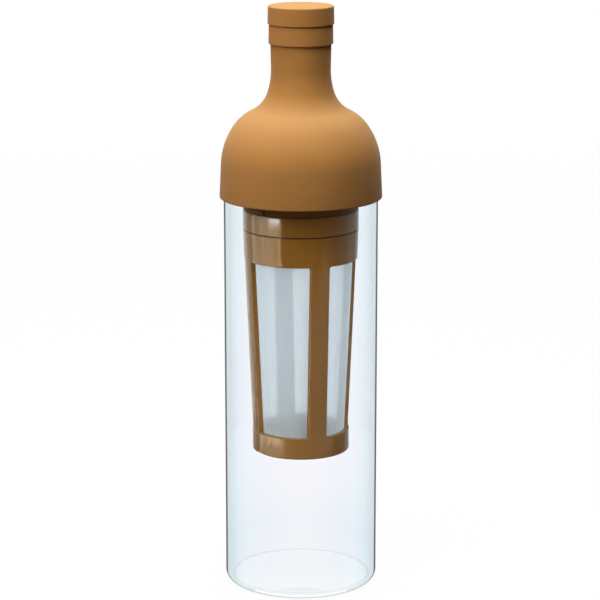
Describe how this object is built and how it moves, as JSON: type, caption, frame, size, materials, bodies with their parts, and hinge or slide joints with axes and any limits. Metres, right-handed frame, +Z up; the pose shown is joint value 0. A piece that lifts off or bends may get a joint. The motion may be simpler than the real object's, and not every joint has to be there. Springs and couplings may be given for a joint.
{
  "type": "cold brew coffee maker",
  "caption": "Tall glass bottle with a domed silicone spout and stopper, and a removable twist-off mesh strainer hanging inside for steeping ground coffee.",
  "frame": {"origin": "centre of the plane that the bottle stands on", "axes": "+Z up along the bottle's axis, -Y towards the front, +X to the right seen from the front"},
  "size_m": [0.0826, 0.0826, 0.3],
  "materials": {
    "glass": "clear, polished",
    "silicone": "matte mocha silicone",
    "moulded_plastic": "satin brown polypropylene",
    "mesh": "fine white woven polyester"
  },
  "bodies": {
    "bottle": {"glass_bottle": "glass"},
    "head": {"silicone_spout": "silicone", "strainer_holder": "moulded_plastic"},
    "stopper": {"stopper": "silicone"},
    "strainer": {"strainer_frame": "moulded_plastic", "strainer_mesh": "mesh"}
  },
  "joints": [
    {"name": "head_lift", "type": "slide", "parent": "bottle", "child": "head", "axis": [0, 0, 1], "range_m": [0, 0.155]},
    {"name": "stopper_pull", "type": "slide", "parent": "head", "child": "stopper", "axis": [0, 0, 1], "range_m": [0, 0.045]},
    {"name": "strainer_twist", "type": "hinge", "parent": "head", "child": "strainer", "pos_m": [0, 0, 0.187], "axis": [0, 0, 1], "range_deg": [0, 60]}
  ]
}
